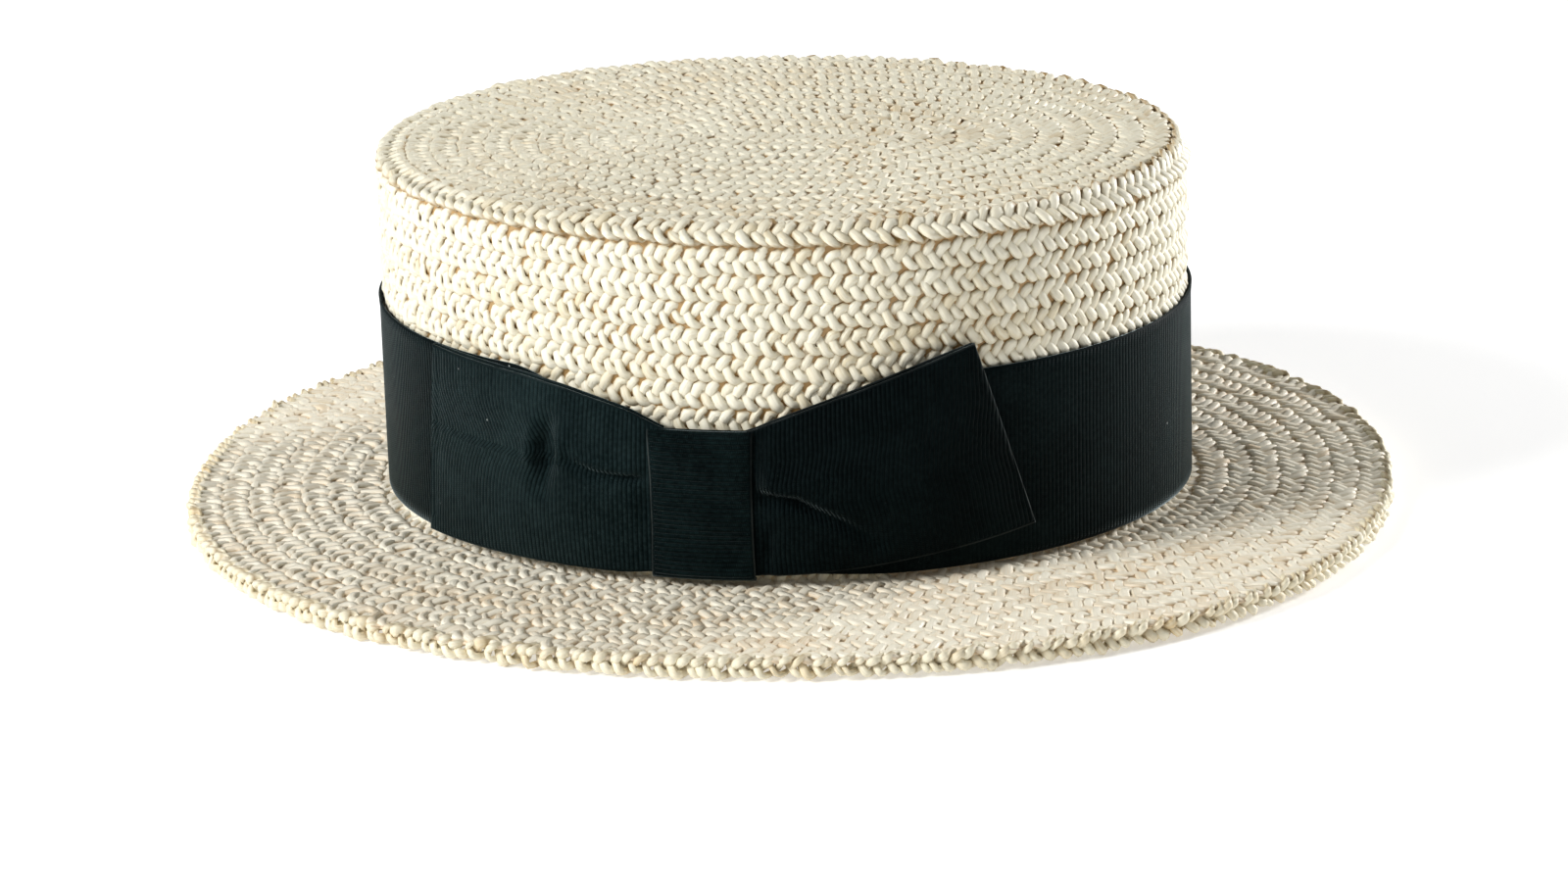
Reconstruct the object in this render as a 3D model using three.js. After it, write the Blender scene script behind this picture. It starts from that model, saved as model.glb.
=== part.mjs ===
// Straw boater hat: an oval, flat-topped crown and a flat brim of sewn straw plait, whose outermost row is
// turned down, and a ribbon band that is finished by a flat bow.
// Millimetres. +Z is up, the wearer faces -X, and the bow is on the wearer's left, the -Y side.
// The origin is the centre of the surface that the hat rests on.
import * as THREE from "three";
import { mergeVertices } from "three/addons/utils/BufferGeometryUtils.js";

// Straw
const PLAIT_THICKNESS = 2.6; // one sewn layer of plait
const CROWN_LENGTH = 203.6; // outside, from the wearer's front to back
const CROWN_WIDTH = 167.2;
const CROWN_HEIGHT = 88; // from the brim's top to the tip
const CROWN_FULLNESS = 2; // exponent of the outline: 2 is an ellipse, more is squarer
const TIP_CORNER = 5; // outer radius where the tip turns down into the wall
const BRIM_LENGTH = 306;
const BRIM_WIDTH = 270;
const BRIM_FULLNESS = 2.16;
const EDGE_DROP = 6.3; // from the brim's top down to the surface
const EDGE_CORNER = 2; // outer radius where the edge row turns down

// Ribbon
const RIBBON_THICKNESS = 1;
const BAND_HEIGHT = 49;
const BAND_LIFT = 0.9; // from the brim's top to the band's lower edge
const BOW_MIDDLE = -10; // the knot's middle, along the wall from the middle of the wearer's left side
const KNOT_WIDTH = 25;
const KNOT_TOP = 45.4;
const KNOT_CORNER = 1.1; // centre-line radius where the knot's strap turns in
const PINCH_TOP = 12.4; // how far the knot gathers the band's upper edge down
const PINCH_BOTTOM = 1.4; // and its lower edge up
const PINCH_REACH = 38; // how far along the band the gather dies away

// Fit
const GAP = 0.3; // between neighbouring pieces
const COLUMNS = 96; // facets round the hat
const CORNER_STEPS = 4;

const CROWN_OVAL = { length: CROWN_LENGTH, width: CROWN_WIDTH, fullness: CROWN_FULLNESS };
const BRIM_OVAL = { length: BRIM_LENGTH, width: BRIM_WIDTH, fullness: BRIM_FULLNESS };
const BRIM_TOP = EDGE_DROP;
const TIP_TOP = BRIM_TOP + CROWN_HEIGHT;
const BAND_BOTTOM = BRIM_TOP + BAND_LIFT;

// How far each ribbon layer's middle stands off the crown's wall.
const LAYER_PITCH = RIBBON_THICKNESS + GAP;
const BAND_OUT = GAP + RIBBON_THICKNESS / 2;
const LOOP_BACK_OUT = BAND_OUT + LAYER_PITCH;
const LOOP_FRONT_OUT = LOOP_BACK_OUT + LAYER_PITCH;
const KNOT_OUT = LOOP_FRONT_OUT + LAYER_PITCH;

// The bow's loops, a row for each section from the knot's middle to the fold. lowReach and highReach are the
// distances along the wall of the lower and upper edge, low and high their heights, and puff is how far
// the front layer bellies out between the edges.
const FRONT_LOOP = [
  { lowReach: 1, highReach: 1, low: 8.8, high: 43.8, puff: 0 },
  { lowReach: 13, highReach: 13, low: 8.8, high: 44, puff: 0 },
  { lowReach: 17, highReach: 17, low: 8.4, high: 48.2, puff: 1 },
  { lowReach: 22, highReach: 22, low: 8.1, high: 50.6, puff: 1.6 },
  { lowReach: 33, highReach: 33, low: 8, high: 53.3, puff: 1.8 },
  { lowReach: 46, highReach: 45, low: 8, high: 55.2, puff: 1.6 },
  { lowReach: 63, highReach: 60, low: 7.9, high: 56, puff: 0.8 },
  { lowReach: 79, highReach: 74, low: 7.8, high: 56.6, puff: 0 },
];
const BACK_LOOP = [
  { lowReach: 1, highReach: 1, low: 8.8, high: 43.8, puff: 0 },
  { lowReach: 13, highReach: 13, low: 8.8, high: 44, puff: 0 },
  { lowReach: 18, highReach: 17, low: 8.9, high: 48, puff: 1 },
  { lowReach: 26, highReach: 24, low: 9.3, high: 50.8, puff: 1.8 },
  { lowReach: 39, highReach: 35, low: 10.4, high: 54.4, puff: 2.2 },
  { lowReach: 55, highReach: 48, low: 12.4, high: 58.6, puff: 1.6 },
  { lowReach: 68, highReach: 57, low: 14.1, high: 61.4, puff: 0.8 },
  { lowReach: 79.5, highReach: 64.5, low: 15.8, high: 63.3, puff: 0 },
];

const STRAW = { roughness: 0.8, metalness: 0 };
const RIBBON = { color: 0x15191b, roughness: 0.7, metalness: 0 };

// A point of an oval outline at an angle, moved out along the outline's normal.
function ovalPoint(oval, angle, out, z) {
  const halfLength = oval.length / 2;
  const halfWidth = oval.width / 2;
  const [c, s] = [Math.cos(angle), Math.sin(angle)];
  const x = Math.sign(c) * Math.abs(c) ** (2 / oval.fullness);
  const y = Math.sign(s) * Math.abs(s) ** (2 / oval.fullness);
  const normal = new THREE.Vector3(
    (Math.sign(x) * Math.abs(x) ** (oval.fullness - 1)) / halfLength,
    (Math.sign(y) * Math.abs(y) ** (oval.fullness - 1)) / halfWidth,
    0,
  ).normalize();
  return new THREE.Vector3(x * halfLength, y * halfWidth, z).addScaledVector(normal, out);
}

// A point on the crown's wall, at a distance along the wall from the middle of the wearer's left side.
const QUARTER_TURN = Math.PI / 2;
const wallOutline = new THREE.EllipseCurve(
  0, 0, CROWN_LENGTH / 2, CROWN_WIDTH / 2, -QUARTER_TURN, 3 * QUARTER_TURN,
);
wallOutline.arcLengthDivisions = 2000;
const WALL_PERIMETER = wallOutline.getLength();

function wallPoint(along, out, z) {
  const turns = along / WALL_PERIMETER;
  const share = wallOutline.getUtoTmapping(turns - Math.floor(turns));
  return ovalPoint(CROWN_OVAL, share * 4 * QUARTER_TURN - QUARTER_TURN, out, z);
}

// A closed solid between two faces. outer(i, j) and inner(i, j) give their points, in columns i along the
// wall and rows j across it, and a wall that closes on itself has its last column joined to its first.
function wallSolid(columns, rows, closes, outer, inner) {
  const points = [];
  const triangle = (a, b, c) => {
    const flat = a.distanceTo(b) * b.distanceTo(c) * c.distanceTo(a) === 0;
    if (!flat) points.push(...a, ...b, ...c);
  };
  const quad = (a, b, c, d) => {
    triangle(a, b, c);
    triangle(a, c, d);
  };
  const next = (i) => (closes ? (i + 1) % columns : i + 1);
  const lastRow = rows - 1;
  for (let i = 0; i < (closes ? columns : columns - 1); i++) {
    const k = next(i);
    for (let j = 0; j < lastRow; j++) {
      quad(outer(i, j), outer(k, j), outer(k, j + 1), outer(i, j + 1));
      quad(inner(i, j + 1), inner(k, j + 1), inner(k, j), inner(i, j));
    }
    quad(inner(i, 0), inner(k, 0), outer(k, 0), outer(i, 0));
    quad(outer(i, lastRow), outer(k, lastRow), inner(k, lastRow), inner(i, lastRow));
  }
  if (!closes) {
    const end = columns - 1;
    for (let j = 0; j < lastRow; j++) {
      quad(outer(0, j), outer(0, j + 1), inner(0, j + 1), inner(0, j));
      quad(inner(end, j), inner(end, j + 1), outer(end, j + 1), outer(end, j));
    }
  }
  const geometry = new THREE.BufferGeometry();
  geometry.setAttribute("position", new THREE.Float32BufferAttribute(points, 3));
  const merged = mergeVertices(geometry, 1e-4);
  merged.computeVertexNormals();
  return merged;
}

// A ring round the hat between two profiles, whose rows are { oval, out, z }, or { z } at the centre.
function ringSolid(outerProfile, innerProfile) {
  const at = (profile) => (i, j) => {
    const { oval, out, z } = profile[j];
    return oval
      ? ovalPoint(oval, (i / COLUMNS) * 4 * QUARTER_TURN, out, z)
      : new THREE.Vector3(0, 0, z);
  };
  return wallSolid(COLUMNS, outerProfile.length, true, at(outerProfile), at(innerProfile));
}

// The rows of a quarter-round corner, from upright at the side to flat on top.
function cornerRows(oval, out, top, radius) {
  const rows = [];
  for (let step = 0; step <= CORNER_STEPS; step++) {
    const turn = (step / CORNER_STEPS) * QUARTER_TURN;
    rows.push({
      oval,
      out: out - radius * (1 - Math.cos(turn)),
      z: top - radius * (1 - Math.sin(turn)),
    });
  }
  return rows;
}

// The crown: an upright wall, a rounded corner and a flat tip, open below.
function crownGeometry() {
  const shell = (out, top, radius) => [
    { oval: CROWN_OVAL, out, z: BRIM_TOP + GAP },
    ...cornerRows(CROWN_OVAL, out, top, radius),
    { z: top },
  ];
  return ringSolid(
    shell(0, TIP_TOP, TIP_CORNER),
    shell(-PLAIT_THICKNESS, TIP_TOP - PLAIT_THICKNESS, TIP_CORNER - PLAIT_THICKNESS),
  );
}

// The brim: a flat ring from the head opening to the edge row.
function brimGeometry() {
  const face = (z) => [
    { oval: BRIM_OVAL, out: -PLAIT_THICKNESS - GAP, z },
    { oval: CROWN_OVAL, out: -PLAIT_THICKNESS, z },
  ];
  return ringSolid(face(BRIM_TOP), face(BRIM_TOP - PLAIT_THICKNESS));
}

// The edge row: an upright ring with a rounded shoulder, whose foot meets the surface.
function edgeGeometry() {
  const shoulder = cornerRows(BRIM_OVAL, 0, BRIM_TOP, EDGE_CORNER);
  const outside = [{ oval: BRIM_OVAL, out: 0, z: 0 }, ...shoulder];
  const inside = outside.map((row, j) => ({
    oval: BRIM_OVAL,
    out: -PLAIT_THICKNESS,
    z: (BRIM_TOP * j) / (outside.length - 1),
  }));
  return ringSolid(outside, inside);
}

// How strongly the knot gathers the band at a place along the wall, from 1 in the knot to 0 past its reach.
function pinch(along) {
  const beyond = Math.abs(along - BOW_MIDDLE) - KNOT_WIDTH / 2;
  return 1 - THREE.MathUtils.smoothstep(beyond, 0, PINCH_REACH);
}

// The band: a ring of ribbon round the foot of the wall, drawn in under the knot.
function bandGeometry() {
  const half = RIBBON_THICKNESS / 2;
  const at = (out) => (i, j) => {
    const along = BOW_MIDDLE + (i / COLUMNS) * WALL_PERIMETER;
    const fromMiddle = i > COLUMNS / 2 ? along - WALL_PERIMETER : along;
    const held = pinch(fromMiddle);
    const low = BAND_BOTTOM + PINCH_BOTTOM * held;
    const high = BAND_BOTTOM + BAND_HEIGHT - PINCH_TOP * held;
    return wallPoint(along, out, j ? high : low);
  };
  return wallSolid(COLUMNS, 2, true, at(BAND_OUT + half), at(BAND_OUT - half));
}

// A loop of the bow: ribbon that runs out from the knot along the front, folds back and returns behind.
// side is -1 for the loop towards the wearer's face and 1 for the one towards the back of the head.
const LOOP_ROWS = 5;
const FOLD_STEPS = 4;
const STEPS_PER_SECTION = 3;

function loopGeometry(sections, side) {
  const fold = (sections.length - 1) * STEPS_PER_SECTION;
  const foldRadius = (LOOP_FRONT_OUT - LOOP_BACK_OUT) / 2;
  const columns = 2 * fold + FOLD_STEPS + 1;
  const spline = (key) => {
    const curve = new THREE.SplineCurve(sections.map((row, k) => new THREE.Vector2(k, row[key])));
    return (step) => curve.getPoint(step / fold).y;
  };
  const [lowReach, highReach, low, high, puff] = ["lowReach", "highReach", "low", "high", "puff"].map(spline);
  const place = (i) => {
    if (i <= fold) return { step: i, turn: 0 };
    if (i < fold + FOLD_STEPS) return { step: fold, turn: (i - fold) / FOLD_STEPS };
    return { step: columns - 1 - i, turn: 1 };
  };
  const at = (offset) => (i, j) => {
    const { step, turn } = place(i);
    const up = j / (LOOP_ROWS - 1);
    const angle = turn * 2 * QUARTER_TURN;
    const belly = turn < 1 ? puff(step) * Math.sin(2 * QUARTER_TURN * up) : 0;
    const reach = THREE.MathUtils.lerp(lowReach(step), highReach(step), up);
    const along = reach + (foldRadius + offset) * Math.sin(angle);
    const out = LOOP_BACK_OUT + foldRadius + belly + (foldRadius + offset) * Math.cos(angle);
    return wallPoint(BOW_MIDDLE + side * along, out, THREE.MathUtils.lerp(low(step), high(step), up));
  };
  const half = RIBBON_THICKNESS / 2;
  const [front, back] = [at(half), at(-half)];
  return side > 0
    ? wallSolid(columns, LOOP_ROWS, false, front, back)
    : wallSolid(columns, LOOP_ROWS, false, back, front);
}

// The knot: a strap over the bow's middle, turned in over the top and bottom of the gathered ribbons.
const KNOT_COLUMNS = 7;

function knotGeometry() {
  const half = RIBBON_THICKNESS / 2;
  const top = KNOT_TOP - half;
  const bottom = BAND_BOTTOM + half;
  const corner = (z, start) => {
    const rows = [];
    for (let step = 0; step <= CORNER_STEPS; step++) {
      const angle = start - (step / CORNER_STEPS) * QUARTER_TURN;
      rows.push({ out: KNOT_OUT - KNOT_CORNER, z, angle, radius: KNOT_CORNER });
    }
    return rows;
  };
  const strap = [
    { out: BAND_OUT - half, z: top, angle: QUARTER_TURN, radius: 0 },
    ...corner(top - KNOT_CORNER, QUARTER_TURN),
    ...corner(bottom + KNOT_CORNER, 0),
    { out: BAND_OUT - half, z: bottom, angle: -QUARTER_TURN, radius: 0 },
  ];
  const at = (offset) => (i, j) => {
    const { out, z, angle, radius } = strap[j];
    const along = BOW_MIDDLE + (i / (KNOT_COLUMNS - 1) - 0.5) * KNOT_WIDTH;
    const reach = radius + offset;
    return wallPoint(along, out + reach * Math.cos(angle), z + reach * Math.sin(angle));
  };
  return wallSolid(KNOT_COLUMNS, strap.length, false, at(-half), at(half));
}

const hat = new THREE.Group();

function addPiece(name, geometry, finish) {
  const piece = new THREE.Mesh(geometry, new THREE.MeshStandardMaterial(finish));
  piece.name = name;
  hat.add(piece);
}

addPiece("crown", crownGeometry(), { color: 0xeadfc4, ...STRAW });
addPiece("brim", brimGeometry(), { color: 0xe2d5b8, ...STRAW });
addPiece("brim_edge_row", edgeGeometry(), { color: 0xede3c6, ...STRAW });
addPiece("hat_band", bandGeometry(), RIBBON);
addPiece("bow_loop_front", loopGeometry(FRONT_LOOP, -1), RIBBON);
addPiece("bow_loop_back", loopGeometry(BACK_LOOP, 1), RIBBON);
addPiece("bow_knot", knotGeometry(), RIBBON);

export default hat;
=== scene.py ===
import bpy
import math
import numpy as np
from mathutils import Matrix, Vector


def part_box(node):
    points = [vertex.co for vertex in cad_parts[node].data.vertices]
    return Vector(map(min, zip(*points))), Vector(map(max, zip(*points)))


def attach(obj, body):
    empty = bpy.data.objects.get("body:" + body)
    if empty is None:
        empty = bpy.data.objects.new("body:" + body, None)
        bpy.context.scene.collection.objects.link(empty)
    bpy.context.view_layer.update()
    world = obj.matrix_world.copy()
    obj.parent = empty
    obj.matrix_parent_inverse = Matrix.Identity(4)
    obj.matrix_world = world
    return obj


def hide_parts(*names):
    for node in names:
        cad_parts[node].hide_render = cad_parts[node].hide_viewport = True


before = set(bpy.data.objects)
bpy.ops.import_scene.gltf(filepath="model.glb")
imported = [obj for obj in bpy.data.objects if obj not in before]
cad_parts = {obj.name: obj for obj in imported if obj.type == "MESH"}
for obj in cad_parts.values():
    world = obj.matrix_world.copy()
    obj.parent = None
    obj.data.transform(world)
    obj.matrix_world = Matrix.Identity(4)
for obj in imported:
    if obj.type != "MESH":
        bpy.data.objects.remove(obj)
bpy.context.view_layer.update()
rng = np.random.default_rng(7)

# Lengths are in metres, unless a comment says otherwise.

# Straw. A plait of three yarns is sewn in a spiral out over the tip and down the wall, and in level rows
# out over the brim. One looser row turns down at the brim's edge.
PLAIT_THICKNESS = 0.0026
ROW_PITCH = 0.00665
TIP_CORNER = 0.005
FOOT_CORNER = 0.0015
EDGE_CORNER = 0.002
BRIM_FULLNESS = 2.16
SPIRAL_START = 0.00125
TIP_CENTRE = 0.0002
WALL_IN_SIGHT = 0.0475
YARNS = 3
YARN_GRAIN_SHIFT = 0.37
PLAIT_REPEAT = 0.01
YARN_SPREAD = 0.12
YARN_DEPTH = 0.0015
YARN_STEP = 0.00075
YARN_SIDES = 6
COVERED_STEP = 0.0011
COVERED_SIDES = 5
EDGE_STEP = 0.0006
LINE_STEPS = 720
EDGE_LINE_STEPS = 1441
BRIM_ROWS = 8
INNER_BRIM_ROWS = 4
LAST_ROW_SHARE = 0.55
LAST_ROW_CUT = 0.025
FOOT_ROW_SHARE = 0.2
JOG_START = 0.94
EDGE_ROW_DROP = 0.0036
# How deep below the plait's top the painted shade in the yarns reaches, and where the painted shade at a
# row's margins starts to grow and over what width.
HOLLOW_SHADE_DEPTH = 0.0011
MARGIN_START = 0.0017
MARGIN_SPAN = 0.0012
UNDER_STRAW = 0.0004
SHELL_COLUMNS = 120

# How the yarns lie in a row: how far they swing to each side, their width, how far they rise over each
# other, the row's tilt in degrees, the share of its swing that a tucked yarn keeps, how square the swing is,
# how loose the plait is, the furthest that a yarn may swing, and how far the row is sunk.
CROWN_WEAVE = {
    "swing": 0.00305,
    "width": 0.0025,
    "rise": 0.0007,
    "tilt": 5,
    "tucked": 0.6,
    "squareness": 0.08,
    "looseness": 1.6,
    "limit": 0.0037,
    "sunk": 0.0,
}
TIP_WEAVE = dict(CROWN_WEAVE, swing=0.0029, width=0.00255, rise=0.0006, tilt=3, tucked=0.7)
BRIM_WEAVE = dict(CROWN_WEAVE, swing=0.0032, width=0.0027, rise=0.0004, tilt=0, tucked=0.68, looseness=2.0)
EDGE_WEAVE = dict(CROWN_WEAVE, swing=0.0019, width=0.0021, rise=0.0013, tilt=0, tucked=0.85, looseness=3.0,
                  limit=0.0022, sunk=0.0004)

# Ribbon
RIBBON_WIDTH = 0.049
RIBBON_THICKNESS = 0.00045
BAND_LOW = 0.0072
BAND_OUT = 0.0008
BOW_MIDDLE = -0.010
KNOT_WIDTH = 0.025
KNOT_OUT = 0.0047
PINCH_TOP = 0.0124
PINCH_BOTTOM = 0.0014
PINCH_REACH = 0.038
LOOP_BACK_OUT = 0.0021
LOOP_FRONT_OUT = 0.0034
LOOP_SINK = 0.0003
LOOP_COLUMNS = 96
LOOP_BACK_COLUMNS = 30
LOOP_BACK_START = 12
LOOP_ROWS = 46
FOLD_STOPS = 7
WALL_STOPS = 2881
KNOT_TURN = 0.0016
KNOT_GAP = 0.0004

crown_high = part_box("crown")[1]
brim_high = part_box("brim")[1]
edge_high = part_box("brim_edge_row")[1]
knot_low, knot_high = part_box("bow_knot")
HALF = PLAIT_THICKNESS / 2
WALL_HALF_LENGTH = crown_high[0] - HALF
WALL_HALF_WIDTH = crown_high[1] - HALF
EDGE_HALF_LENGTH = edge_high[0] - HALF
EDGE_HALF_WIDTH = edge_high[1] - HALF
TIP_Z = crown_high[2] - HALF
BRIM_Z = brim_high[2] - HALF


def oval(angle, half_length, half_width, fullness):
    """Points of an oval outline, and the directions straight out from it."""
    c, s = np.cos(angle), np.sin(angle)
    x = np.sign(c) * np.abs(c) ** (2 / fullness)
    y = np.sign(s) * np.abs(s) ** (2 / fullness)
    away_x = np.sign(x) * np.abs(x) ** (fullness - 1) / half_length
    away_y = np.sign(y) * np.abs(y) ** (fullness - 1) / half_width
    size = np.hypot(away_x, away_y)
    return x * half_length, y * half_width, away_x / size, away_y / size


# Rows of the meridian: where the tip's corner, the wall's foot and the brim's shoulder begin.
CORNER_STOPS = 6
CORNER = 1
FOOT = CORNER + CORNER_STOPS
SHOULDER = FOOT + CORNER_STOPS


def meridian():
    """The middle of the straw, from the tip's centre line to the foot of the turned-down edge.

    Each row gives half length, half width, fullness, height, and how far the surface faces up from level.
    """
    stretch = WALL_HALF_LENGTH - WALL_HALF_WIDTH
    corner = TIP_CORNER - HALF
    shoulder = EDGE_CORNER - HALF
    quarter = np.linspace(0, math.pi / 2, CORNER_STOPS)
    rows = [(stretch, 0.0, 2, TIP_Z, math.pi / 2)]
    for turn in quarter:
        inset = corner * (1 - math.sin(turn))
        drop = corner * (1 - math.cos(turn))
        rows.append((WALL_HALF_LENGTH - inset, WALL_HALF_WIDTH - inset, 2, TIP_Z - drop, math.pi / 2 - turn))
    for turn in quarter:
        out = FOOT_CORNER * (1 - math.cos(turn))
        rise = FOOT_CORNER * (1 - math.sin(turn))
        rows.append((WALL_HALF_LENGTH + out, WALL_HALF_WIDTH + out, 2, BRIM_Z + rise, turn))
    for turn in quarter:
        inset = shoulder * (1 - math.sin(turn))
        drop = shoulder * (1 - math.cos(turn))
        rows.append((EDGE_HALF_LENGTH - inset, EDGE_HALF_WIDTH - inset, BRIM_FULLNESS, BRIM_Z - drop,
                     math.pi / 2 - turn))
    rows.append((EDGE_HALF_LENGTH, EDGE_HALF_WIDTH, BRIM_FULLNESS, 0, 0))
    table = np.array(rows)
    steps = np.hypot(np.diff(table[:, 1]), np.diff(table[:, 3]))
    return np.concatenate([[0], np.cumsum(steps)]), table


REACH, MERIDIAN = meridian()
CORNER_REACH = REACH[CORNER]
EDGE_REACH = REACH[-1]
BRIM_START = REACH[SHOULDER] - ROW_PITCH * (BRIM_ROWS - LAST_ROW_SHARE)
MIDDLE_WALL = CORNER_REACH + WALL_IN_SIGHT


def straw_surface(reach, angle):
    """Points and normals of the straw's middle, at a distance from the centre line and an angle round."""
    half_length, half_width, fullness, z, tilt = (np.interp(reach, REACH, column) for column in MERIDIAN.T)
    x, y, away_x, away_y = oval(angle, half_length, half_width, fullness)
    points = np.stack([x, y, z + 0 * x], -1)
    normals = np.stack([away_x * np.cos(tilt), away_y * np.cos(tilt), np.sin(tilt) + 0 * x], -1)
    return points, normals


def unit(vectors):
    return vectors / np.linalg.norm(vectors, axis=-1, keepdims=True)


def along_path(points):
    return np.concatenate([[0], np.cumsum(np.linalg.norm(np.diff(points, axis=0), axis=1))])


def smoothstep(value, low, high):
    part = np.clip((value - low) / (high - low), 0, 1)
    return part * part * (3 - 2 * part)


def wander(s, spacing, size):
    """A smooth random curve along a path."""
    knots = rng.normal(0, size, int(s[-1] / spacing) + 3)
    place = s / spacing
    step = np.floor(place).astype(int)
    part = smoothstep(place - step, 0, 1)
    return knots[step] * (1 - part) + knots[step + 1] * part


def add_mesh(name, points, faces, caps=()):
    """A smooth mesh object from arrays of points and four-sided faces, with flat end caps."""
    mesh = bpy.data.meshes.new(name)
    corners = np.concatenate([faces.ravel()] + [np.asarray(cap) for cap in caps]).astype(np.int32)
    sizes = [4] * len(faces) + [len(cap) for cap in caps]
    starts = np.concatenate([[0], np.cumsum(sizes)[:-1]]).astype(np.int32)
    mesh.vertices.add(len(points))
    mesh.vertices.foreach_set("co", points.astype(np.float32).ravel())
    mesh.loops.add(len(corners))
    mesh.loops.foreach_set("vertex_index", corners)
    mesh.polygons.add(len(starts))
    mesh.polygons.foreach_set("loop_start", starts)
    mesh.update(calc_edges=True)
    mesh.polygons.foreach_set("use_smooth", np.ones(len(starts), dtype=bool))
    piece = bpy.data.objects.new(name, mesh)
    bpy.context.collection.objects.link(piece)
    return piece


def set_attribute(piece, name, values):
    layer = piece.data.attributes.new(name, "FLOAT", "POINT")
    layer.data.foreach_set("value", values.astype(np.float32))


def set_uv(piece, corners):
    total = len(piece.data.loops)
    flat = np.zeros((total, 2), dtype=np.float32)
    flat[:len(corners)] = corners
    layer = piece.data.uv_layers.new(name="run_and_round")
    layer.data.foreach_set("uv", flat.ravel())


def finish_piece(piece, material, node):
    piece.data.materials.clear()
    piece.data.materials.append(material)
    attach(piece, "root")
    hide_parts(node)
    return piece


def spiral(reach_from, reach_to):
    """The sewing line between two distances from the centre line."""
    first = (reach_from - SPIRAL_START) / ROW_PITCH
    last = (reach_to - SPIRAL_START) / ROW_PITCH
    turns = np.linspace(first, last, int((last - first) * LINE_STEPS))
    return SPIRAL_START + ROW_PITCH * turns, turns * 2 * math.pi - math.pi / 2


def brim_line(first, last):
    """The sewing line between two turns of the brim: level rows, each joined to the next at the back."""
    turns = np.linspace(first, last, int((last - first) * LINE_STEPS))
    row = np.floor(turns)
    jog = smoothstep(turns - row, JOG_START, 1.0)
    return BRIM_START + ROW_PITCH * (row + jog), turns * 2 * math.pi + math.pi / 2


def yarn_path(yarn, s, weave):
    """How far one yarn lies across the plait and above its middle."""
    loose = weave["looseness"]
    turn = 2 * math.pi * (s / PLAIT_REPEAT - yarn / YARNS) + wander(s, 0.009, 0.12 * loose)
    swing = weave["swing"] * (1 + wander(s, 0.006, 0.06 * loose))
    square = weave["squareness"]
    across = swing * (np.sin(turn) + square * np.sin(3 * turn)) / (1 - square)
    lobe = (s - PLAIT_REPEAT / 4) * YARNS / PLAIT_REPEAT
    inner_tuck = (1 - weave["tucked"]) * (0.5 - 0.5 * np.cos(math.pi * lobe))
    outer_tuck = (1 - weave["tucked"]) * (0.25 - 0.25 * np.cos(math.pi * (lobe - 0.5)))
    across = np.where(across > 0, across * (1 - inner_tuck), across * (1 - outer_tuck))
    across = np.clip(across, -weave["limit"], weave["limit"])
    height = weave["rise"] * np.sin(2 * turn) + wander(s, 0.006, 0.00009 * loose) - weave["sunk"]
    return across, height


def sew_plait(name, line, step, sides, material, node, weave):
    """Three yarns plaited along a sewing line, each a closed tube."""
    loose = weave["looseness"]
    points, normals = straw_surface(*line)
    walked = along_path(points)
    rings = int(walked[-1] / step) + 1
    s = np.linspace(0, walked[-1], rings)
    middle = np.stack([np.interp(s, walked, points[:, c]) for c in range(3)], -1)
    up = unit(np.stack([np.interp(s, walked, normals[:, c]) for c in range(3)], -1))
    inward = unit(np.cross(up, np.gradient(middle, axis=0)))
    around = np.arange(sides) * 2 * math.pi / sides
    lean = math.radians(weave["tilt"])
    ring = np.arange(rings - 1)[:, None] * sides
    side = np.arange(sides)[None, :]
    after = (side + 1) % sides
    quads = np.stack([ring + side, ring + after, ring + sides + after, ring + sides + side], -1)
    quads = quads.reshape(-1, 4)
    skins, faces, caps, tones, hollow_shades, corners = [], [], [], [], [], []
    for yarn in range(YARNS):
        across, height = yarn_path(yarn, s, weave)
        level = across * math.cos(lean) + height * math.sin(lean)
        high = height * math.cos(lean) - across * math.sin(lean)
        centre = middle + inward * level[:, None] + up * high[:, None]
        run = unit(np.gradient(centre, axis=0))
        flank = unit(np.cross(up, run))
        top = np.cross(run, flank)
        middle_share = 1 - np.clip(np.abs(across) / weave["swing"], 0, 1)
        half_width = weave["width"] / 2 * (1 + wander(s, 0.008, 0.07 * loose) + YARN_SPREAD * middle_share)
        half_depth = YARN_DEPTH / 2 * (1 + wander(s, 0.008, 0.06 * loose))
        sideways = flank[:, None, :] * (np.cos(around) * half_width[:, None])[:, :, None]
        upward = top[:, None, :] * (np.sin(around) * half_depth[:, None])[:, :, None]
        skin = centre[:, None, :] + sideways + upward
        # Painted shade: the yarn's colour turns warm brown where its surface lies low in the plait, and more
        # so at a row's margins.
        lift = np.abs(high[:, None] + np.sin(around) * half_depth[:, None])
        margin = np.clip((np.abs(across) - MARGIN_START) / MARGIN_SPAN, 0, 1)[:, None]
        first = yarn * rings * sides
        skins.append(skin.reshape(-1, 3))
        faces.append(quads + first)
        caps.append(first + np.arange(sides)[::-1])
        caps.append(first + (rings - 1) * sides + np.arange(sides))
        tone = wander(s, 0.0067, 0.5) + wander(s, 0.08, 0.4)
        tones.append(np.repeat(tone, sides))
        hollow_shades.append((np.clip(1 - lift / HOLLOW_SHADE_DEPTH, 0, 1) * (0.65 + 0.35 * margin)).ravel())
        run_start = np.repeat(s[:-1], sides) + yarn * YARN_GRAIN_SHIFT
        run_end = np.repeat(s[1:], sides) + yarn * YARN_GRAIN_SHIFT
        round_start = np.tile(np.arange(sides), rings - 1) / sides
        round_end = round_start + 1 / sides
        run_corners = np.stack([run_start, run_start, run_end, run_end], 1)
        round_corners = np.stack([round_start, round_end, round_end, round_start], 1)
        corners.append(np.stack([run_corners, round_corners], -1).reshape(-1, 2))
    piece = add_mesh(name, np.concatenate(skins), np.concatenate(faces), caps)
    set_uv(piece, np.concatenate(corners))
    set_attribute(piece, "tone", np.concatenate(tones))
    set_attribute(piece, "hollow_shade", np.concatenate(hollow_shades))
    return finish_piece(piece, material, node)


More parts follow.
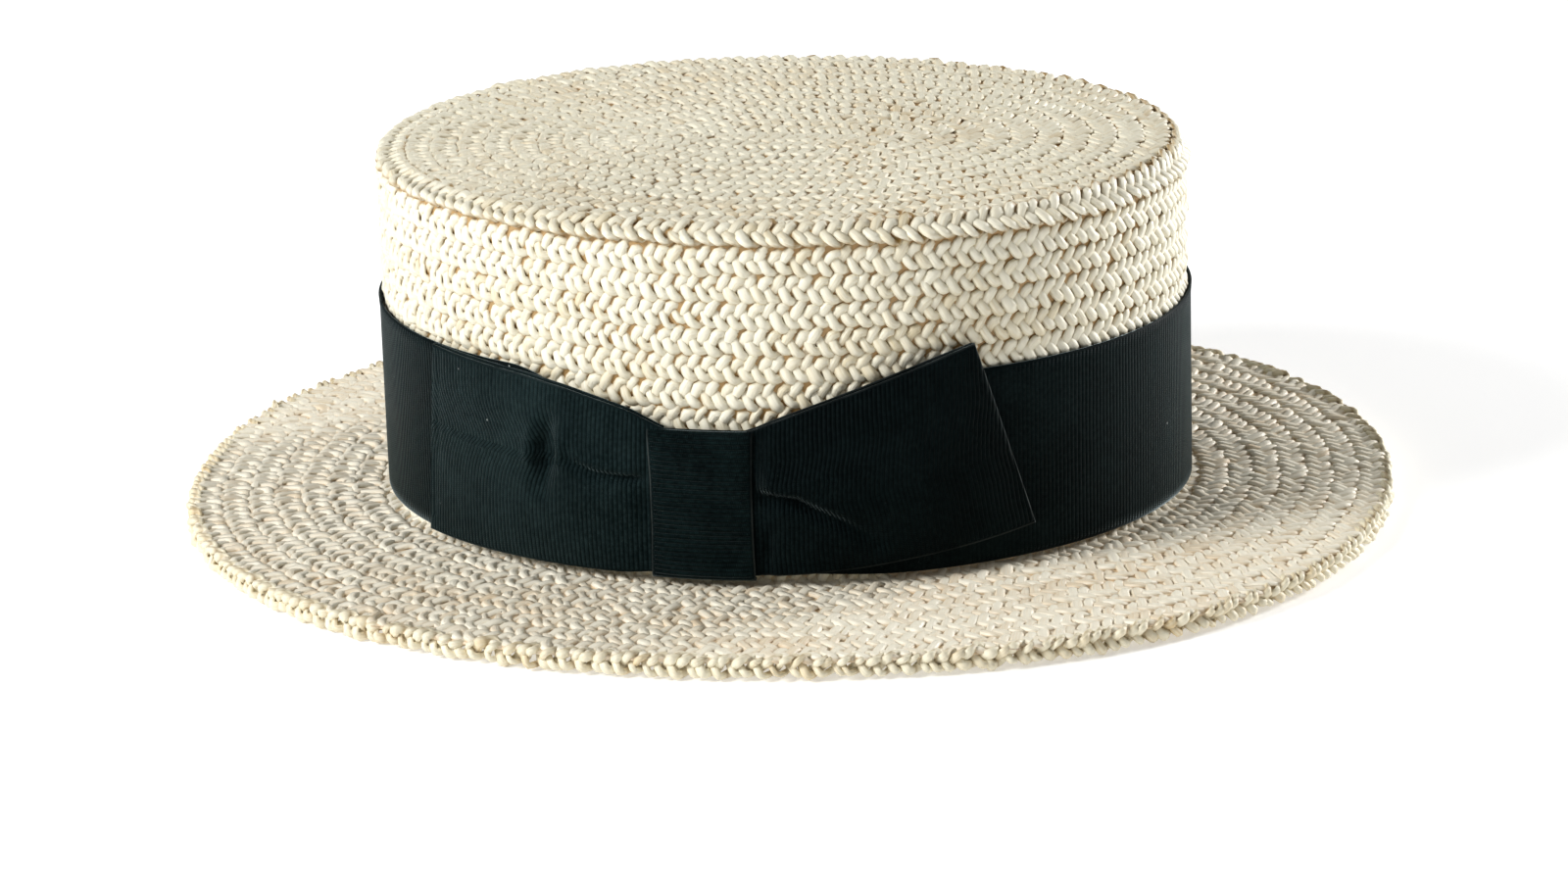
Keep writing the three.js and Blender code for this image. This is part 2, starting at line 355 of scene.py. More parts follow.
def start_clean():
    if bpy.context.object and bpy.context.object.mode != "OBJECT":
        bpy.ops.object.mode_set(mode="OBJECT")
    bpy.ops.object.select_all(action="DESELECT")


def apply_modifier(piece, kind, name, **settings):
    start_clean()
    piece.select_set(True)
    bpy.context.view_layer.objects.active = piece
    modifier = piece.modifiers.new(name, kind)
    for key, value in settings.items():
        setattr(modifier, key, value)
    bpy.ops.object.modifier_apply(modifier=name)


# Node groups -------------------------------------------------------------------------------------------


def new_group(name, inputs, outputs):
    group = bpy.data.node_groups.new(name, "ShaderNodeTree")
    for label, kind, value in inputs:
        socket = group.interface.new_socket(name=label, in_out="INPUT", socket_type=kind)
        socket.default_value = value
    for label, kind in outputs:
        group.interface.new_socket(name=label, in_out="OUTPUT", socket_type=kind)
    start = group.nodes.new("NodeGroupInput")
    end = group.nodes.new("NodeGroupOutput")
    start.location = (-1200, 0)
    end.location = (800, 0)
    return group, start, end


class Wiring:
    """Adds nodes to a tree and joins them."""

    def __init__(self, tree):
        self.tree = tree

    def join(self, source, socket):
        self.tree.links.new(source, socket)

    def feed(self, socket, value):
        if isinstance(value, bpy.types.NodeSocket):
            self.join(value, socket)
        else:
            socket.default_value = value

    def math(self, operation, first, second=0.0, third=0.0):
        node = self.tree.nodes.new("ShaderNodeMath")
        node.operation = operation
        for socket, value in zip(node.inputs, (first, second, third)):
            self.feed(socket, value)
        return node.outputs[0]

    def mix(self, factor, first, second):
        node = self.tree.nodes.new("ShaderNodeMix")
        node.data_type = "RGBA"
        self.feed(node.inputs["Factor"], factor)
        self.feed(node.inputs[6], first)
        self.feed(node.inputs[7], second)
        return node.outputs[2]

    def spread(self, value, low, high, to_low=0.0, to_high=1.0):
        node = self.tree.nodes.new("ShaderNodeMapRange")
        node.interpolation_type = "SMOOTHSTEP"
        for socket, number in zip(node.inputs[:5], (value, low, high, to_low, to_high)):
            self.feed(socket, number)
        return node.outputs[0]

    def noise(self, place, scale, detail=3.0, rough=0.55):
        node = self.tree.nodes.new("ShaderNodeTexNoise")
        node.inputs["Scale"].default_value = scale
        node.inputs["Detail"].default_value = detail
        node.inputs["Roughness"].default_value = rough
        self.join(place, node.inputs["Vector"])
        return node.outputs["Fac"]

    def stretched(self, place, scale):
        node = self.tree.nodes.new("ShaderNodeMapping")
        node.inputs["Scale"].default_value = scale
        self.join(place, node.inputs["Vector"])
        return node.outputs["Vector"]

    def attribute(self, name):
        node = self.tree.nodes.new("ShaderNodeAttribute")
        node.attribute_name = name
        return node.outputs["Fac"]


def straw_group():
    """Straw yarn: long fibres, a tone for each length of yarn, and a painted warm brown shade where the yarn
    lies low in the plait.
    """
    colour = "NodeSocketColor"
    number = "NodeSocketFloat"
    group, start, end = new_group(
        "straw_yarn",
        [("Light Straw", colour, (0.9, 0.86, 0.74, 1)), ("Deep Straw", colour, (0.7, 0.58, 0.4, 1)),
         ("Hollow Straw", colour, (0.35, 0.2, 0.08, 1)), ("Tone", number, 0.0), ("Hollow", number, 0.0),
         ("Hollow Strength", number, 1.0), ("Fibre Strength", number, 1.0)],
        [("Color", colour), ("Roughness", number), ("Height", number)])
    w = Wiring(group)
    coordinates = group.nodes.new("ShaderNodeTexCoord")
    fibres = w.noise(w.stretched(coordinates.outputs["UV"], (260, 13, 1)), 1.0, 4, 0.65)
    patches = w.noise(coordinates.outputs["Object"], 30, 2)
    specks = w.noise(coordinates.outputs["Object"], 700, 2)
    tone = w.math("MULTIPLY_ADD", start.outputs["Tone"], 0.3, 0.2)
    tone = w.math("MULTIPLY_ADD", w.math("SUBTRACT", fibres, 0.5), 1.4, tone)
    tone = w.math("MULTIPLY_ADD", w.math("SUBTRACT", patches, 0.5), 0.6, tone)
    tone = w.spread(tone, 0.0, 1.0)
    base = w.mix(tone, start.outputs["Light Straw"], start.outputs["Deep Straw"])
    # Painted shade, broken up by small specks.
    hollow_shade = w.spread(start.outputs["Hollow"], 0.12, 0.95)
    hollow_shade = w.math("MULTIPLY", hollow_shade, start.outputs["Hollow Strength"])
    hollow_shade = w.math("MULTIPLY", hollow_shade, w.spread(specks, 0.25, 0.6, 0.75, 1.0))
    base = w.mix(hollow_shade, base, start.outputs["Hollow Straw"])
    w.join(base, end.inputs["Color"])
    w.join(w.spread(fibres, 0.3, 0.7, 0.34, 0.54), end.inputs["Roughness"])
    w.join(w.math("MULTIPLY", fibres, start.outputs["Fibre Strength"]), end.inputs["Height"])
    return group


def ribbon_group():
    """Corded ribbon: round ribs across it, fine threads between them, a plain selvedge and stray lint, with
    painted highlights on the rib crests and along the selvedges and the fold.
    """
    colour = "NodeSocketColor"
    number = "NodeSocketFloat"
    group, start, end = new_group(
        "corded_ribbon",
        [("Thread", colour, (0.0022, 0.007, 0.0078, 1)), ("Worn Thread", colour, (0.013, 0.026, 0.027, 1)),
         ("Lint and Edge Highlight", colour, (0.35, 0.37, 0.36, 1)), ("Ribs per Metre", number, 870.0),
         ("Threads per Metre", number, 1900.0), ("Lint Amount", number, 1.0), ("Edge Wear", number, 0.1)],
        [("Color", colour), ("Roughness", number), ("Height", number)])
    w = Wiring(group)
    coordinates = group.nodes.new("ShaderNodeTexCoord")
    split = group.nodes.new("ShaderNodeSeparateXYZ")
    w.join(coordinates.outputs["UV"], split.inputs[0])
    waver = w.noise(coordinates.outputs["Object"], 60, 2)
    run = w.math("MULTIPLY", split.outputs["X"], start.outputs["Ribs per Metre"])
    run = w.math("MULTIPLY_ADD", w.math("SUBTRACT", waver, 0.5), 0.35, run)
    rib = w.math("ABSOLUTE", w.math("SINE", w.math("MULTIPLY", run, math.pi)))
    rib = w.math("POWER", rib, 0.6)
    thread = w.math("MULTIPLY", split.outputs["Y"], start.outputs["Threads per Metre"])
    thread = w.math("MULTIPLY_ADD", w.math("FLOOR", run), 0.5, thread)
    thread = w.math("ABSOLUTE", w.math("SINE", w.math("MULTIPLY", thread, math.pi)))
    margin = w.spread(w.attribute("selvedge"), 0.0003, 0.0009)
    corded = w.math("MULTIPLY_ADD", w.math("MULTIPLY", thread, rib), 0.28, w.math("MULTIPLY", rib, 0.72))
    corded = w.math("MULTIPLY", corded, margin)
    height = w.math("ADD", corded, w.math("MULTIPLY", w.math("SUBTRACT", 1.0, margin), 0.8))
    w.join(height, end.inputs["Height"])
    wear = w.noise(coordinates.outputs["Object"], 45, 4, 0.7)
    grain = w.noise(coordinates.outputs["Object"], 900, 2)
    # Real worn patches, and the rib crests painted lighter as a painted highlight.
    worn_and_rib_highlight = w.math("MULTIPLY", w.spread(wear, 0.35, 0.75), 0.5)
    worn_and_rib_highlight = w.math("MULTIPLY_ADD", w.math("MULTIPLY", corded, w.spread(grain, 0.35, 0.7)), 0.5, worn_and_rib_highlight)
    base = w.mix(worn_and_rib_highlight, start.outputs["Thread"], start.outputs["Worn Thread"])
    flecks = group.nodes.new("ShaderNodeTexVoronoi")
    flecks.inputs["Scale"].default_value = 190
    flecks.inputs["Randomness"].default_value = 1.0
    w.join(coordinates.outputs["Object"], flecks.inputs["Vector"])
    near = w.spread(flecks.outputs["Distance"], 0.03, 0.075, 1.0, 0.0)
    sparse = w.spread(w.noise(coordinates.outputs["Object"], 130, 1), 0.6, 0.66)
    lint_and_edge_highlight = w.math("MULTIPLY", w.math("MULTIPLY", near, sparse), start.outputs["Lint Amount"])
    # Painted highlight: a light line along the selvedges and the loop's fold, in the lint colour, broken up
    # by the wear noise.
    edge_highlight_mask = w.math("ADD", w.spread(w.attribute("selvedge"), 0.0001, 0.0006, 0.25, 0.0), w.attribute("fold"))
    edge_highlight_mask = w.math("MULTIPLY", edge_highlight_mask, w.spread(wear, 0.35, 0.6, 0.3, 1.0))
    lint_and_edge_highlight = w.math("MAXIMUM", lint_and_edge_highlight, w.math("MULTIPLY", edge_highlight_mask, start.outputs["Edge Wear"]))
    w.join(w.mix(lint_and_edge_highlight, base, start.outputs["Lint and Edge Highlight"]), end.inputs["Color"])
    w.join(w.spread(wear, 0.3, 0.7, 0.5, 0.66), end.inputs["Roughness"])
    return group


def grouped_material(name, group, values, bump, **shader_values):
    """A material whose colour, roughness and bump come from a shared group."""
    material = bpy.data.materials.new(name)
    material.use_nodes = True
    tree = material.node_tree
    shader = tree.nodes["Principled BSDF"]
    node = tree.nodes.new("ShaderNodeGroup")
    node.node_tree = group
    node.location = (-500, 100)
    for label, value in values.items():
        if isinstance(value, str):
            attribute = tree.nodes.new("ShaderNodeAttribute")
            attribute.attribute_name = value
            attribute.location = (-760, 0)
            tree.links.new(attribute.outputs["Fac"], node.inputs[label])
        else:
            node.inputs[label].default_value = value
    relief = tree.nodes.new("ShaderNodeBump")
    relief.inputs["Strength"].default_value = bump[0]
    relief.inputs["Distance"].default_value = bump[1]
    relief.location = (-240, -200)
    tree.links.new(node.outputs["Height"], relief.inputs["Height"])
    tree.links.new(relief.outputs["Normal"], shader.inputs["Normal"])
    tree.links.new(node.outputs["Color"], shader.inputs["Base Color"])
    tree.links.new(node.outputs["Roughness"], shader.inputs["Roughness"])
    for label, value in shader_values.items():
        shader.inputs[label.replace("_", " ")].default_value = value
    return material


STRAW = straw_group()
RIBBON = ribbon_group()


def straw_material(name, light, deep, hollow_shade, strength):
    return grouped_material(
        name, STRAW,
        {"Light Straw": (*light, 1), "Deep Straw": (*deep, 1), "Hollow Straw": (*hollow_shade, 1), "Tone": "tone",
         "Hollow": "hollow_shade", "Hollow Strength": strength},
        (0.7, 0.00035), Specular_IOR_Level=0.65)


# The tip's straw is painted darker and the brim's lighter than the wall's, as painted shade and painted
# light on one straw; the brim's painted hollow shade is also weaker.
crown_straw = straw_material(
    "crown_straw_cream", (0.91, 0.87, 0.72), (0.74, 0.64, 0.43), (0.34, 0.2, 0.05), 1.0)
tip_straw = straw_material(
    "tip_straw_cream", (0.87, 0.83, 0.68), (0.73, 0.62, 0.43), (0.4, 0.24, 0.1), 0.9)
brim_straw = straw_material(
    "brim_straw_cream", (0.95, 0.9, 0.76), (0.8, 0.66, 0.47), (0.5, 0.32, 0.15), 0.6)
edge_straw = straw_material(
    "edge_straw_loose", (0.88, 0.82, 0.64), (0.72, 0.56, 0.32), (0.3, 0.18, 0.05), 0.85)
# The straw under the rows is painted brown and tan, as shade seen between the rows.
crown_under = straw_material(
    "crown_under_brown", (0.5, 0.33, 0.15), (0.36, 0.21, 0.08), (0.22, 0.12, 0.04), 0.5)
brim_under = straw_material(
    "brim_under_tan", (0.78, 0.64, 0.45), (0.62, 0.46, 0.28), (0.42, 0.27, 0.13), 0.5)


def ribbon_material(name, thread, worn_and_rib_highlight, edge_highlight, relief, sheen):
    return grouped_material(
        name, RIBBON, {"Thread": (*thread, 1), "Worn Thread": (*worn_and_rib_highlight, 1), "Edge Wear": edge_highlight}, relief,
        Sheen_Weight=sheen, Sheen_Roughness=0.25, Sheen_Tint=(0.78, 0.92, 0.94, 1), Specular_IOR_Level=0.05)


# One black ribbon in four copies: the front loop is painted lighter as painted light, the back loop and the
# knot's threads darker as painted shade.
band_ribbon = ribbon_material("band_ribbon_black", (0.0018, 0.0058, 0.0064), (0.0125, 0.023, 0.024), 0.03,
                              (0.6, 0.0003), 0.45)
front_ribbon = ribbon_material("bow_ribbon_black", (0.0052, 0.013, 0.014), (0.025, 0.043, 0.0445), 0.1,
                               (0.9, 0.0004), 0.25)
back_ribbon = ribbon_material("bow_ribbon_deep_black", (0.0011, 0.0042, 0.0047), (0.0085, 0.017, 0.018), 0.3,
                              (0.9, 0.0004), 0.2)
knot_ribbon = ribbon_material("knot_ribbon_black", (0.0012, 0.005, 0.0056), (0.013, 0.029, 0.03), 0.6,
                              (1.0, 0.0005), 0.25)

# Straw pieces ------------------------------------------------------------------------------------------

sew_plait("crown_tip_plait", spiral(TIP_CENTRE, CORNER_REACH), YARN_STEP, YARN_SIDES, tip_straw,
          "crown", TIP_WEAVE)
sew_plait("crown_wall_plait", spiral(CORNER_REACH, MIDDLE_WALL), YARN_STEP, YARN_SIDES, crown_straw,
          "crown", CROWN_WEAVE)
sew_plait("crown_foot_plait", spiral(MIDDLE_WALL, BRIM_START - ROW_PITCH * FOOT_ROW_SHARE), COVERED_STEP,
          COVERED_SIDES, crown_straw, "crown", CROWN_WEAVE)
sew_plait("brim_inner_plait", brim_line(JOG_START - 1, INNER_BRIM_ROWS), YARN_STEP, YARN_SIDES, brim_straw,
          "brim", BRIM_WEAVE)
sew_plait("brim_outer_plait", brim_line(INNER_BRIM_ROWS, BRIM_ROWS - LAST_ROW_CUT), YARN_STEP, YARN_SIDES,
          brim_straw, "brim", BRIM_WEAVE)
edge_reaches = np.full(EDGE_LINE_STEPS, EDGE_REACH - EDGE_ROW_DROP)
edge_turns = np.linspace(0, 2 * math.pi, EDGE_LINE_STEPS)
sew_plait("brim_edge_plait", (edge_reaches, edge_turns), EDGE_STEP, YARN_SIDES, edge_straw,
          "brim_edge_row", EDGE_WEAVE)


def oval_shell(name, stops, lifted, material, node):
    """A thin straw shell among the rows of plait, at a list of distances from the centre line, coloured
    darker than the plait as painted shade seen between the rows.
    """
    angles = np.linspace(0, 2 * math.pi, SHELL_COLUMNS, endpoint=False)
    rows = []
    for reach in stops:
        points, normals = straw_surface(np.full(SHELL_COLUMNS, reach), angles)
        rows.append(points + normals * lifted)
    count = len(rows)
    ring = np.arange(count - 1)[:, None] * SHELL_COLUMNS
    next_ring = ring + SHELL_COLUMNS
    side = np.arange(SHELL_COLUMNS)[None, :]
    after = (side + 1) % SHELL_COLUMNS
    quads = np.stack([ring + side, next_ring + side, next_ring + after, ring + after], -1).reshape(-1, 4)
    piece = add_mesh(name, np.concatenate(rows), quads)
    set_attribute(piece, "tone", np.zeros(count * SHELL_COLUMNS))
    # Painted shade over the whole shell.
    set_attribute(piece, "hollow_shade", np.full(count * SHELL_COLUMNS, 0.4))
    apply_modifier(piece, "SOLIDIFY", "straw_thickness", thickness=UNDER_STRAW, offset=0)
    return finish_piece(piece, material, node)


crown_stops = [0.0003, 0.02, 0.04, 0.06, *REACH[CORNER:FOOT], REACH[FOOT] - 0.0014]
middle_brim = (REACH[SHOULDER - 1] + REACH[SHOULDER]) / 2
brim_stops = [REACH[FOOT] - 0.001, *REACH[FOOT + 1:SHOULDER], middle_brim,
              *REACH[SHOULDER:SHOULDER + CORNER_STOPS]]
oval_shell("crown_under_straw", crown_stops, 0.0, crown_under, "crown")
oval_shell("brim_under_straw", brim_stops, -0.0001, brim_under, "brim")

# Ribbon ------------------------------------------------------------------------------------------------

WALL_ANGLES = np.linspace(-math.pi / 2, 3 * math.pi / 2, WALL_STOPS)
WALL_X, WALL_Y = oval(WALL_ANGLES, crown_high[0], crown_high[1], 2)[:2]
WALL_WALK = np.concatenate([[0], np.cumsum(np.hypot(np.diff(WALL_X), np.diff(WALL_Y)))])
WALL_ROUND = WALL_WALK[-1]


def wall_points(along, out, z):
    """Points that lie round the crown's wall, stand off it, and are at a height."""
    place = np.mod(along, WALL_ROUND)
    angle = np.interp(place, WALL_WALK, WALL_ANGLES)
    x, y, away_x, away_y = oval(angle, crown_high[0], crown_high[1], 2)
    return np.stack([x + away_x * out, y + away_y * out, z + 0 * x], -1)


def ribbon_sheet(name, grid, runs, acrosses, closed, material, node,
                 fold_column=None):
    """A ribbon from a grid of points: its runs and acrosses are distances along and across the ribbon."""
    rows, columns = grid.shape[:2]
    spans = columns if closed else columns - 1
    row = np.arange(rows - 1)[:, None]
    column = np.arange(spans)[None, :]
    after = (column + 1) % columns
    start = row * columns
    end = start + columns
    quads = np.stack([start + column, start + after, end + after, end + column], -1).reshape(-1, 4)
    piece = add_mesh(name, grid.reshape(-1, 3), quads)
    run_grid = runs if runs.ndim == 2 else np.tile(runs, (rows, 1))
    across_grid = np.tile(acrosses[:, None], (1, run_grid.shape[1]))
    uv = np.stack([run_grid, across_grid], -1)
    next_column = column + 1 if closed else after
    corners = [uv[row, column], uv[row, next_column], uv[row + 1, next_column], uv[row + 1, column]]
    set_uv(piece, np.stack(corners, 2).reshape(-1, 2))
    edge = np.minimum(acrosses, acrosses[-1] - acrosses)
    set_attribute(piece, "selvedge", np.repeat(edge, columns))
    # Marks the loop's fold line, where the ribbon paints a highlight.
    fold = np.zeros((rows, columns))
    if fold_column:
        fold[:, fold_column] = 1
    set_attribute(piece, "fold", fold.ravel())
    apply_modifier(piece, "SOLIDIFY", "ribbon_thickness", thickness=RIBBON_THICKNESS, offset=0)
    finish_piece(piece, material, node)
    return piece


def pinch(along):
    """How much the bow squeezes the band, from none to all."""
    middle = np.mod(along - BOW_MIDDLE + WALL_ROUND / 2, WALL_ROUND) - WALL_ROUND / 2
    return 1 - smoothstep(np.abs(middle) - KNOT_WIDTH / 2, 0, PINCH_REACH)


def hat_band():
    """The ribbon round the crown, squeezed in height where the bow holds it."""
    columns = 420
    rows = 17
    along = np.linspace(0, WALL_ROUND, columns, endpoint=False) + BOW_MIDDLE
    squeeze = pinch(along)
    low = BAND_LOW + PINCH_BOTTOM * squeeze
    high = BAND_LOW + RIBBON_WIDTH - PINCH_TOP * squeeze
    up = np.linspace(0, 1, rows)[:, None]
    z = low + (high - low) * up
    ripple = 0.00012 * np.sin(along / 0.017 + 2.1 * up) + 0.0001 * np.sin(along / 0.041 + 1)
    lip = 0.00022 * smoothstep(up, 0.93, 1.0)
    out = BAND_OUT + (ripple + lip) * (1 - squeeze)
    grid = wall_points(np.tile(along, (rows, 1)), out, z)
    runs = np.linspace(0, WALL_ROUND, columns + 1)
    return ribbon_sheet("hat_band_ribbon", grid, runs, np.linspace(0, RIBBON_WIDTH, rows), True, band_ribbon,
                        "hat_band")


# Rows of a loop, in millimetres: its reach from the knot's middle at its lower and at its upper edge, its
# lower and upper height, and how far it puffs out.
FRONT_LOOP = [(1, 1, 8.8, 43.6, 0), (9, 9, 8.8, 45.4, 0), (13, 13, 8.8, 47.3, 0.3),
              (17, 17, 8.4, 49.2, 1.6), (22, 22, 8.1, 50.6, 2.5), (33, 33, 8, 53.3, 2.9),
              (46, 45, 8, 55.2, 2.5), (63, 60, 7.9, 56, 1.2), (79, 74, 7.8, 56.6, 0)]
BACK_LOOP = [(1, 1, 8.8, 43.8, 0), (9, 9, 8.8, 44.4, 0), (13, 13, 8.8, 45.7, 0.3),
             (18, 17, 8.9, 47.5, 1.8), (26, 24, 9.3, 50.1, 3.0), (39, 35, 10.4, 54, 3.3),
             (55, 48, 12.4, 58.4, 2.4), (68, 57, 14.1, 61.3, 1.1), (79.5, 64.5, 15.8, 63.3, 0)]


def loop_profile(table, count):
    """The rows of a loop, eased to many more."""
    table = np.array(table) / 1000
    place = np.linspace(0, len(table) - 1, count)
    eased = np.stack([np.interp(place, np.arange(len(table)), table[:, c]) for c in range(5)], -1)
    kernel = np.ones(7) / 7
    for c in range(5):
        padded = np.concatenate([2 * eased[0, c] - eased[3:0:-1, c], eased[:, c],
                                 2 * eased[-1, c] - eased[-2:-5:-1, c]])
        eased[:, c] = np.convolve(padded, kernel, "valid")
    return eased


def stroke(along, z, path, width, depth):
    """A crease or a fold along a path of (along, height) points in millimetres; it fades to its end."""
    best = np.full(along.shape, 1e9)
    strength = np.zeros(along.shape)
    path = np.array(path) / 1000
    total = along_path(path)
    for i in range(len(path) - 1):
        leg = path[i + 1] - path[i]
        size = leg @ leg
        part = np.clip(((along - path[i, 0]) * leg[0] + (z - path[i, 1]) * leg[1]) / size, 0, 1)
        gap = np.hypot(along - path[i, 0] - leg[0] * part, z - path[i, 1] - leg[1] * part)
        walked = (total[i] + part * math.sqrt(size)) / total[-1]
        fade = 1 - 0.75 * walked
        strength = np.where(gap < best, fade, strength)
        best = np.minimum(best, gap)
    return depth / 1000 * strength * np.exp(-(best / (width / 1000)) ** 2)


def bow_loop(name, table, side, material, node, strokes):
    """A flat loop of the bow: its front layer, a fold at its far end, and its back layer."""
    profile = loop_profile(table, LOOP_COLUMNS)
    up = np.linspace(0, 1, LOOP_ROWS)[:, None]
    low_reach, high_reach, low, high, puff = profile.T
    reach = low_reach + (high_reach - low_reach) * up
    z = low + (high - low) * up
    along = BOW_MIDDLE + side * reach
    plump = np.sin(np.pi * np.clip(up, 0.02, 0.98)) ** 0.5
    out = LOOP_FRONT_OUT + puff * plump
    near_knot = smoothstep(reach, 0.0125, 0.017)
    for path, width, depth in strokes:
        out = out + stroke(along, z, path, width, depth) * near_knot
    slack = 0.00018 * np.sin(z / 0.006 + reach / 0.011) * near_knot
    out = np.maximum(out + slack, LOOP_FRONT_OUT - LOOP_SINK)
    front = wall_points(along, out, z)
    radius = (LOOP_FRONT_OUT - LOOP_BACK_OUT) / 2
    middle_out = (LOOP_FRONT_OUT + LOOP_BACK_OUT) / 2
    fold = []
    for turn in np.linspace(0, math.pi, FOLD_STOPS)[1:-1]:
        fold.append(wall_points(along[:, -1] + side * radius * math.sin(turn),
                                middle_out + radius * math.cos(turn), z[:, -1]))
    back_steps = np.linspace(LOOP_COLUMNS - 1, LOOP_BACK_START, LOOP_BACK_COLUMNS).astype(int)
    back_out = np.full((LOOP_ROWS, LOOP_BACK_COLUMNS), LOOP_BACK_OUT)
    back = wall_points(along[:, back_steps], back_out, z[:, back_steps])
    grid = np.concatenate([front, np.stack(fold, 1), back], 1)
    steps = np.linalg.norm(np.diff(grid, axis=1), axis=2)
    runs = np.concatenate([np.zeros((LOOP_ROWS, 1)), np.cumsum(steps, 1)], 1)
    if side < 0:
        grid = grid[::-1]
        runs = runs[::-1]
    return ribbon_sheet(name, grid, runs, np.linspace(0, RIBBON_WIDTH, LOOP_ROWS), False, material,
                        node, LOOP_COLUMNS + 1)


def bow_knot():
    """The strap round the middle of the bow, turned in behind at its top and foot."""
    columns = 26
    side = np.linspace(-1, 1, columns)
    low = knot_low[2] + KNOT_GAP
    high = knot_high[2] - KNOT_GAP
    stops = []
    turned = KNOT_TURN
    for turn in np.linspace(math.pi / 2 + 0.5, 0, FOLD_STOPS):
        stops.append((KNOT_OUT - turned + turned * math.cos(turn), high - turned + turned * math.sin(turn)))
    for z in np.linspace(high - turned - 0.001, low + turned + 0.001, 34):
        stops.append((KNOT_OUT, z))
    for turn in np.linspace(0, math.pi / 2 + 0.5, FOLD_STOPS):
        stops.append((KNOT_OUT - turned + turned * math.cos(turn), low + turned - turned * math.sin(turn)))
    stops = np.array(stops)
    up = (stops[:, 1] - low) / (high - low)
    narrow = 1 - 0.035 * np.sin(math.pi * np.clip(up, 0, 1)) - 0.012 * (1 - up)
    along = BOW_MIDDLE + side[None, :] * KNOT_WIDTH / 2 * narrow[:, None]
    curl = -0.0006 * np.abs(side[None, :]) ** 6 + 0.00025 * (1 - side[None, :] ** 2)
    dent = -0.00035 * np.exp(-((side[None, :] - 0.55) / 0.25) ** 2 - ((up[:, None] - 0.2) / 0.12) ** 2)
    wave = 0.0001 * np.sin(up[:, None] * 19 + side[None, :] * 2)
    facing = np.clip((stops[:, 0] - KNOT_OUT + turned) / turned, 0, 1)[:, None]
    out = stops[:, 0][:, None] + (curl + dent + wave) * facing
    grid = wall_points(along, out, np.tile(stops[:, 1][:, None], (1, columns)))
    grid = grid.transpose(1, 0, 2)
    runs = along_path(np.stack([stops[:, 0], stops[:, 1]], -1))
    return ribbon_sheet("bow_knot_ribbon", grid, runs, np.linspace(0, KNOT_WIDTH, columns), False,
                        knot_ribbon, "bow_knot")


# The folds and creases of each loop: a path of (along, height) points, a width and a depth, in millimetres.
# A positive depth stands out.
FRONT_CREASES = [([(-48.2, 36.5), (-48.8, 28)], 2.6, -5.0), ([(-48.2, 37), (-46.8, 45)], 2.4, -4.4),
                 ([(-44.6, 36), (-43.2, 45)], 1.7, 1.5), ([(-51.5, 36), (-51, 44)], 2.0, 1.2),
                 ([(-51.5, 36), (-52, 30)], 2.0, 1.0),
                 ([(-23, 32.2), (-35, 32.8), (-42.5, 36.2)], 1.1, -2.8),
                 ([(-24, 34.6), (-38, 36)], 1.6, 1.2), ([(-24, 27), (-44, 26)], 4.0, 0.8),
                 ([(-87.5, 12), (-84, 34), (-81.5, 55)], 0.6, -0.6)]
BACK_CREASES = [([(2.5, 29), (12, 28), (22.5, 22.3), (31, 16.5)], 1.5, -4.2),
                ([(3, 31.5), (13, 31), (24, 25)], 2.2, 2.2), ([(5, 34.5), (20, 33), (30, 26)], 2.8, 1.4),
                ([(6, 42), (26, 44)], 4.0, 0.6), ([(3.5, 9), (5.5, 19)], 1.8, -3.0)]

hat_band()
bow_loop("bow_loop_front_ribbon", FRONT_LOOP, -1, front_ribbon, "bow_loop_front", FRONT_CREASES)
bow_loop("bow_loop_back_ribbon", BACK_LOOP, 1, back_ribbon, "bow_loop_back", BACK_CREASES)
bow_knot()

# Studio ------------------------------------------------------------------------------------------------

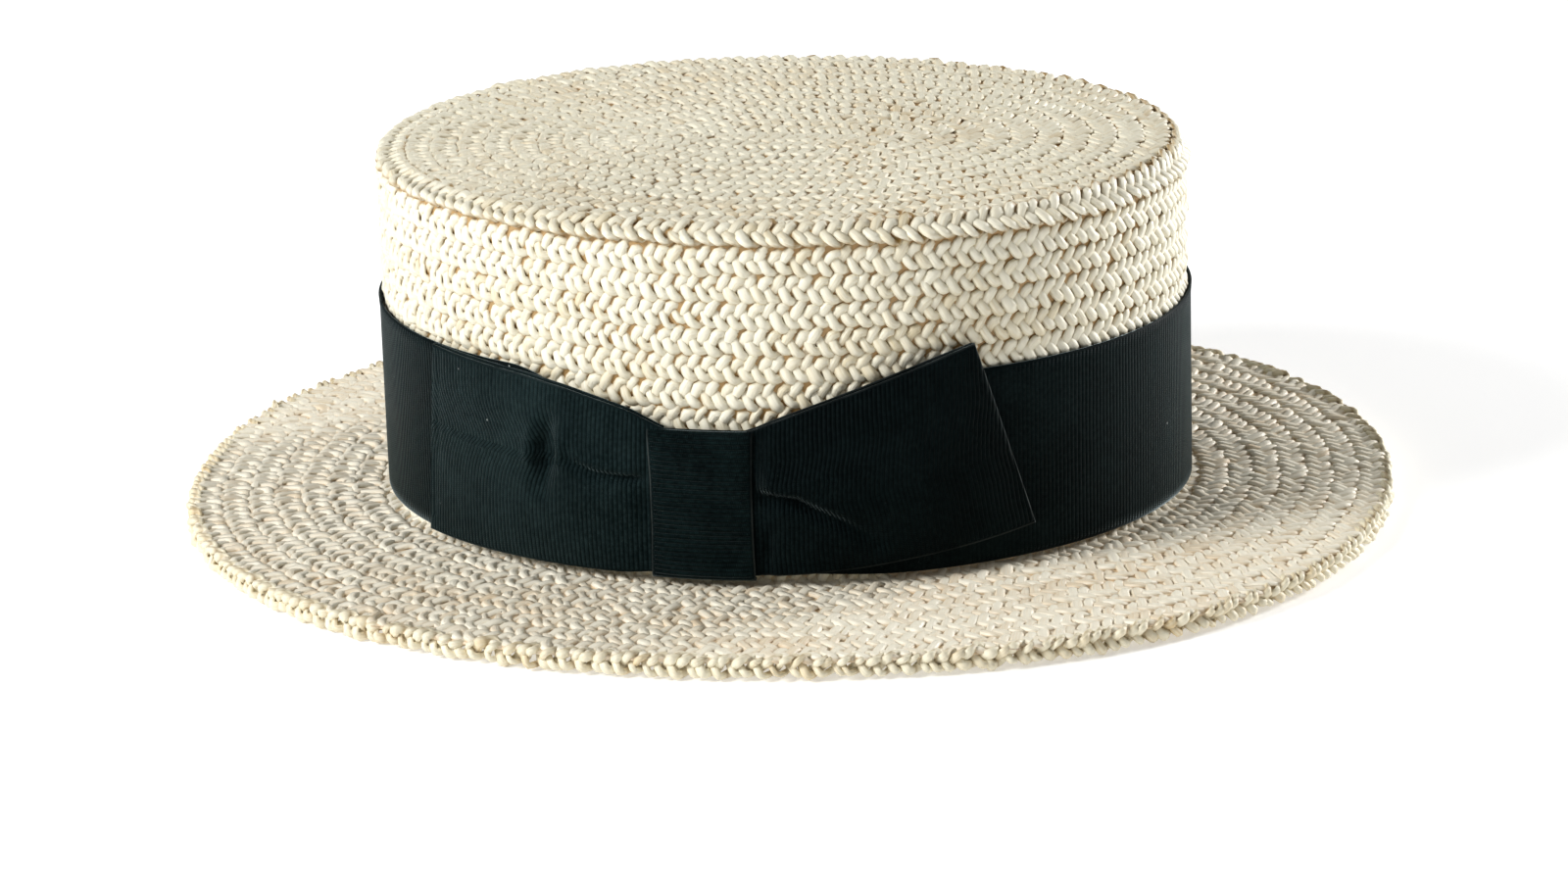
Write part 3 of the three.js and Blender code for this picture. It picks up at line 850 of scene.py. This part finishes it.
# The camera's side, dip and roll are in degrees, its lens and sensor in millimetres, and powers in watts.
CAMERA_REACH = 1.209
CAMERA_HEIGHT = 0.4216
CAMERA_SHIFT = -0.0012
CAMERA_SIDE = 7.39
CAMERA_DIP = 18.66
CAMERA_ROLL = 1.74
LENS = 114.6
SENSOR_WIDTH = 36
LIGHTS_AIM = (0, 0, 0.05)
KEY_PLACE = (-1.78, -1.1, 1.27)
KEY_SIZE = 0.9
KEY_POWER = 45
RIM_PLACE = (1.5, 1.05, 0.55)
RIM_SIZE = 0.45
RIM_POWER = 28
SKY_STRENGTH = 0.25
FLOOR_SIZE = 6
FLOOR_GLOW = 0.28


def add_camera():
    bpy.ops.object.camera_add()
    camera = bpy.context.object
    camera.name = "studio_camera"
    camera.data.lens = LENS
    camera.data.sensor_width = SENSOR_WIDTH
    side = math.radians(CAMERA_SIDE)
    dip = math.radians(CAMERA_DIP)
    place = Matrix.Rotation(side, 4, "Z") @ Matrix.Translation((CAMERA_SHIFT, -CAMERA_REACH, CAMERA_HEIGHT))
    camera.matrix_world = (place @ Matrix.Rotation(math.pi / 2 - dip, 4, "X")
                           @ Matrix.Rotation(math.radians(-CAMERA_ROLL), 4, "Z"))
    bpy.context.scene.camera = camera


def add_floor():
    start_clean()
    bpy.ops.mesh.primitive_plane_add(size=FLOOR_SIZE)
    floor = bpy.context.object
    floor.name = "floor"
    pale = bpy.data.materials.new("pale_floor")
    pale.use_nodes = True
    shader = pale.node_tree.nodes["Principled BSDF"]
    shader.inputs["Base Color"].default_value = (0.92, 0.92, 0.92, 1)
    shader.inputs["Roughness"].default_value = 0.8
    shader.inputs["Emission Color"].default_value = (1, 1, 1, 1)
    shader.inputs["Emission Strength"].default_value = FLOOR_GLOW
    floor.data.materials.append(pale)


def add_light(name, place, size, power):
    bpy.ops.object.light_add(type="AREA")
    light = bpy.context.object
    light.name = name
    light.data.shape = "DISK"
    light.data.size = size
    light.data.energy = power
    light.location = place
    light.rotation_euler = (Vector(LIGHTS_AIM) - Vector(place)).to_track_quat("-Z", "Y").to_euler()


add_camera()
add_floor()
add_light("key_light", KEY_PLACE, KEY_SIZE, KEY_POWER)
add_light("rim_light", RIM_PLACE, RIM_SIZE, RIM_POWER)
world = bpy.data.worlds.new("studio")
bpy.context.scene.world = world
world.use_nodes = True
world.node_tree.nodes["Background"].inputs["Color"].default_value = (1, 1, 1, 1)
world.node_tree.nodes["Background"].inputs["Strength"].default_value = SKY_STRENGTH
bpy.context.scene.view_settings.view_transform = "Standard"
bpy.context.scene.view_settings.look = "Medium High Contrast"
